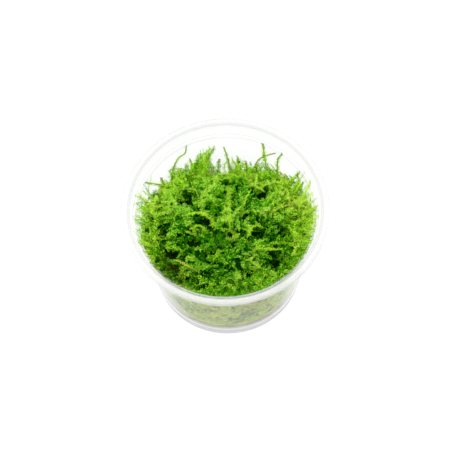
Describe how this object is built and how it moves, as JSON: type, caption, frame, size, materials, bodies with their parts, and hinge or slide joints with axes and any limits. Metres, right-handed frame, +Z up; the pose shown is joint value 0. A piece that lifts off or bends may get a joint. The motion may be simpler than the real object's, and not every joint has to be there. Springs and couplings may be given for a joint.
{
  "type": "cup of tissue-cultured Christmas moss",
  "caption": "Open milky plastic cup with a flat flange, filled with a dense cushion of green aquarium moss whose long leafy shoots rise towards the rim.",
  "frame": {"origin": "centre of the foot ring, on the plane that the cup stands on", "axes": "+Z up along the cup's axis, -Y towards the viewer of the picture, +X to the viewer's right"},
  "size_m": [0.1, 0.1, 0.068],
  "materials": {
    "cup_plastic": "milky, see-through polypropylene, smooth",
    "gel": "pale, clear jelly",
    "moss_deep": "tangle of dark and mid green leafy shoots",
    "moss_fresh": "fresh green leafy shoots",
    "moss_lime": "pale lime young shoots",
    "moss_olive": "olive to yellow thin stems"
  },
  "bodies": {
    "root": {"cup": "cup_plastic", "culture_gel": "gel", "moss_cushion": "moss_deep", "tall_back_shoot": "moss_lime", "crossing_stem": "moss_olive", "hooked_shoot": "moss_lime", "left_peak_shoot": "moss_fresh", "middle_peak_shoot": "moss_fresh", "slender_back_shoot": "moss_lime", "short_back_shoot_left": "moss_fresh", "short_back_shoot_middle": "moss_lime", "short_back_shoot_right": "moss_fresh", "left_arch_stem": "moss_olive", "left_arch_prop": "moss_olive", "short_left_back_shoot": "moss_fresh", "left_corner_shoot": "moss_fresh", "left_reaching_shoot": "moss_lime", "left_edge_shoot_back": "moss_lime", "left_edge_shoot_middle": "moss_fresh", "left_edge_shoot_front": "moss_fresh", "left_low_shoot": "moss_fresh", "right_tuft_shoot_back": "moss_lime", "right_tuft_shoot_middle": "moss_fresh", "right_tuft_shoot_inner": "moss_lime", "right_spike_inner": "moss_lime", "right_spike_middle": "moss_lime", "right_spike_front": "moss_lime", "right_bright_shoot_back": "moss_lime", "right_bright_shoot_front": "moss_lime", "claw_shoot_upper": "moss_lime", "claw_shoot_lower": "moss_lime", "pale_centre_shoot": "moss_lime", "centre_right_shoot": "moss_lime", "right_arc_shoot": "moss_lime", "bright_front_shoot": "moss_lime", "orange_tinged_shoot": "moss_olive", "middle_left_shoot": "moss_fresh", "front_left_shoot": "moss_fresh", "bare_yellow_stem": "moss_olive", "middle_front_shoot": "moss_fresh", "front_edge_shoot_left": "moss_fresh", "front_edge_shoot_middle": "moss_fresh", "front_edge_shoot_right": "moss_lime"}
  },
  "joints": []
}
